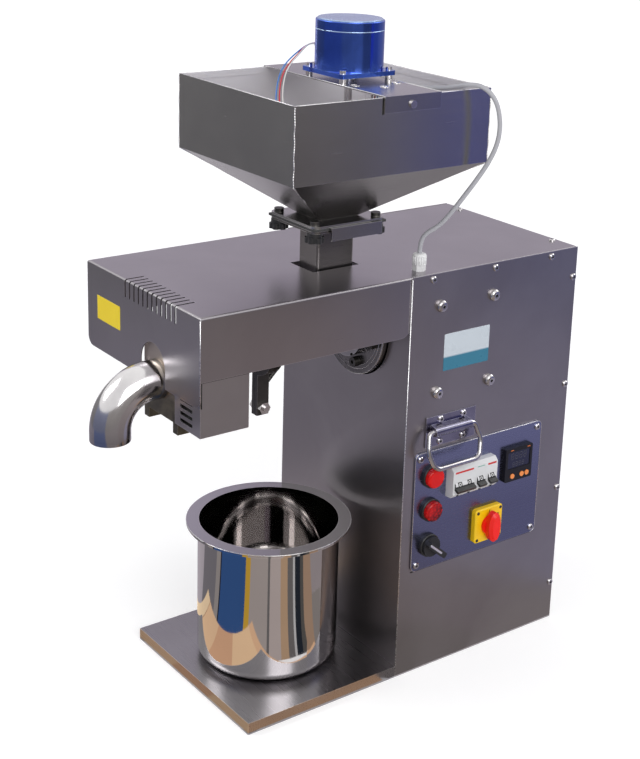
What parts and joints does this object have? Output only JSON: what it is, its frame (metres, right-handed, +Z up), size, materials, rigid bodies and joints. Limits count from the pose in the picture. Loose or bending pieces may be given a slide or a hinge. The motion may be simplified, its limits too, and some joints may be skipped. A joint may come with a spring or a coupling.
{
  "type": "screw oil press",
  "caption": "Tabletop screw oil press: geared screw in a slotted barrel under a folded hood, stirred hopper, slide gate, control panel, spout and bowl.",
  "frame": {"origin": "on the floor sheet's underside, below the cabinet's front face at mid width", "axes": "+X towards the control panel's side, -Y to the front with the spout and bowl, +Z up"},
  "size_m": [0.3331, 0.66, 0.852],
  "materials": {
    "cabinet_sheet": "brushed stainless sheet",
    "top_sheet": "brushed stainless sheet",
    "base_sheet": "brushed stainless sheet",
    "hopper_sheet": "brushed stainless sheet",
    "bridge_sheet": "brushed stainless sheet",
    "panel_sheet": "smooth stainless sheet",
    "bowl_steel": "polished stainless",
    "spout_steel": "polished stainless tube",
    "handle_steel": "polished stainless",
    "bolt_steel": "bright steel",
    "turned_steel": "turned steel",
    "dark_steel": "blackened steel",
    "heat_tinted": "heat-tinted steel",
    "olive_flange": "dark olive plate",
    "gear_iron": "painted cast iron",
    "motor_blue": "metallic blue lacquer",
    "drive_paint": "grey-blue lacquer",
    "cap_aluminium": "bright turned aluminium",
    "black_plastic": "black plastic",
    "dark_case": "dark plastic with a display window",
    "white_case": "off-white plastic",
    "white_nylon": "white nylon",
    "red_lens": "red lens",
    "red_knob": "red plastic",
    "yellow_plate": "yellow plastic",
    "orange_key": "orange rubbery plastic",
    "cable_grey": "grey jacket",
    "lead_colour": "thin insulated leads",
    "guide_strip": "satin steel strip"
  },
  "bodies": {
    "press": {"base_tray": "base_sheet", "base_floor": "base_sheet", "cabinet_shell": "cabinet_sheet", "back_cover": "cabinet_sheet", "top_cover": "top_sheet", "casing_screws": "bolt_steel", "gearbox_bolts": "bolt_steel", "panel_plate": "panel_sheet", "controller_case": "dark_case", "breaker_cases": "white_case", "lamp_bodies": "black_plastic", "lamp_lenses": "red_lens", "selector_body": "black_plastic", "isolator_plate": "yellow_plate", "handle_brackets": "handle_steel", "gearbox_housing": "gear_iron", "gearbox_mounts": "cabinet_sheet", "motor_body": "drive_paint", "motor_fan_cover": "drive_paint", "bearing_flange": "turned_steel", "screw_bearing": "bolt_steel", "flange_bolts": "bolt_steel", "press_barrel": "turned_steel", "barrel_nut": "turned_steel", "feed_saddle": "turned_steel", "barrel_clamp": "dark_steel", "clamp_bolt": "bolt_steel", "press_head": "turned_steel", "head_plate": "heat_tinted", "band_heater": "bolt_steel", "vented_cover": "top_sheet", "elbow_spout": "spout_steel", "feed_chute": "olive_flange", "gate_guides": "guide_strip", "feed_bolts": "dark_steel", "feed_knobs": "black_plastic", "hopper": "hopper_sheet", "hopper_bridge": "bridge_sheet", "motor_standoffs": "bolt_steel", "stirrer_motor": "motor_blue", "stirrer_motor_cap": "cap_aluminium", "terminal_block": "white_nylon", "cable_gland": "white_nylon", "power_cable": "cable_grey", "motor_leads": "lead_colour"},
    "rotor": {"motor_rotor": "turned_steel"},
    "screw": {"press_screw": "turned_steel"},
    "stirrer_arm": {"stirrer": "bolt_steel"},
    "gate": {"gate_plate": "bridge_sheet"},
    "bail_right": {"handle_bail_right": "handle_steel"},
    "bail_left": {"handle_bail_left": "handle_steel"},
    "selector": {"selector_knob": "black_plastic"},
    "isolator": {"isolator_knob": "red_knob"},
    "main_toggle": {"toggle_main": "black_plastic"},
    "middle_toggle": {"toggle_middle": "black_plastic"},
    "single_toggle": {"toggle_single": "black_plastic"},
    "set_key": {"key_set": "orange_key"},
    "down_key": {"key_down": "orange_key"},
    "up_key": {"key_up": "orange_key"},
    "bowl": {"oil_bowl": "bowl_steel"}
  },
  "joints": [
    {"name": "motor_turn", "type": "hinge", "parent": "press", "child": "rotor", "pos_m": [-0.022, 0.09, 0.3], "axis": [0, 0, 1], "continuous": true},
    {"name": "screw_turn", "type": "hinge", "parent": "press", "child": "screw", "pos_m": [0.028, -0.1, 0.459], "axis": [0, 1, 0], "continuous": true},
    {"name": "stirrer_turn", "type": "hinge", "parent": "press", "child": "stirrer_arm", "pos_m": [0.028, -0.027, 0.7], "axis": [0, 0, 1], "continuous": true},
    {"name": "gate_pull", "type": "slide", "parent": "press", "child": "gate", "axis": [1, 0, 0], "range_m": [0, 0.075]},
    {"name": "handle_right_lift", "type": "hinge", "parent": "press", "child": "bail_right", "pos_m": [0.1445, 0.069, 0.341], "axis": [0, -1, 0], "range_deg": [0, 73]},
    {"name": "handle_left_lift", "type": "hinge", "parent": "press", "child": "bail_left", "pos_m": [-0.1445, 0.069, 0.341], "axis": [0, 1, 0], "range_deg": [0, 90]},
    {"name": "selector_switch", "type": "hinge", "parent": "press", "child": "selector", "pos_m": [0.142, 0.044, 0.181], "axis": [1, 0, 0], "range_deg": [0, 90]},
    {"name": "main_switch", "type": "hinge", "parent": "press", "child": "isolator", "pos_m": [0.145, 0.1425, 0.1866], "axis": [1, 0, 0], "range_deg": [0, 90]},
    {"name": "main_breaker", "type": "hinge", "parent": "press", "child": "main_toggle", "pos_m": [0.146, 0.089, 0.2595], "axis": [0, -1, 0], "range_deg": [0, 56]},
    {"name": "middle_breaker", "type": "hinge", "parent": "press", "child": "middle_toggle", "pos_m": [0.146, 0.1175, 0.2595], "axis": [0, -1, 0], "range_deg": [0, 56]},
    {"name": "single_breaker", "type": "hinge", "parent": "press", "child": "single_toggle", "pos_m": [0.146, 0.1365, 0.2595], "axis": [0, -1, 0], "range_deg": [0, 56]},
    {"name": "set_press", "type": "slide", "parent": "press", "child": "set_key", "axis": [-1, 0, 0], "range_m": [0, 0.0008], "stiffness_N_per_m": 500},
    {"name": "down_press", "type": "slide", "parent": "press", "child": "down_key", "axis": [-1, 0, 0], "range_m": [0, 0.0008], "stiffness_N_per_m": 500},
    {"name": "up_press", "type": "slide", "parent": "press", "child": "up_key", "axis": [-1, 0, 0], "range_m": [0, 0.0008], "stiffness_N_per_m": 500},
    {"name": "bowl_pull", "type": "slide", "parent": "press", "child": "bowl", "axis": [0, -1, 0], "range_m": [0, 0.1]}
  ],
  "couplings": [
    {"joint": "screw_turn", "follows": "motor_turn", "ratio": 0.05}
  ]
}
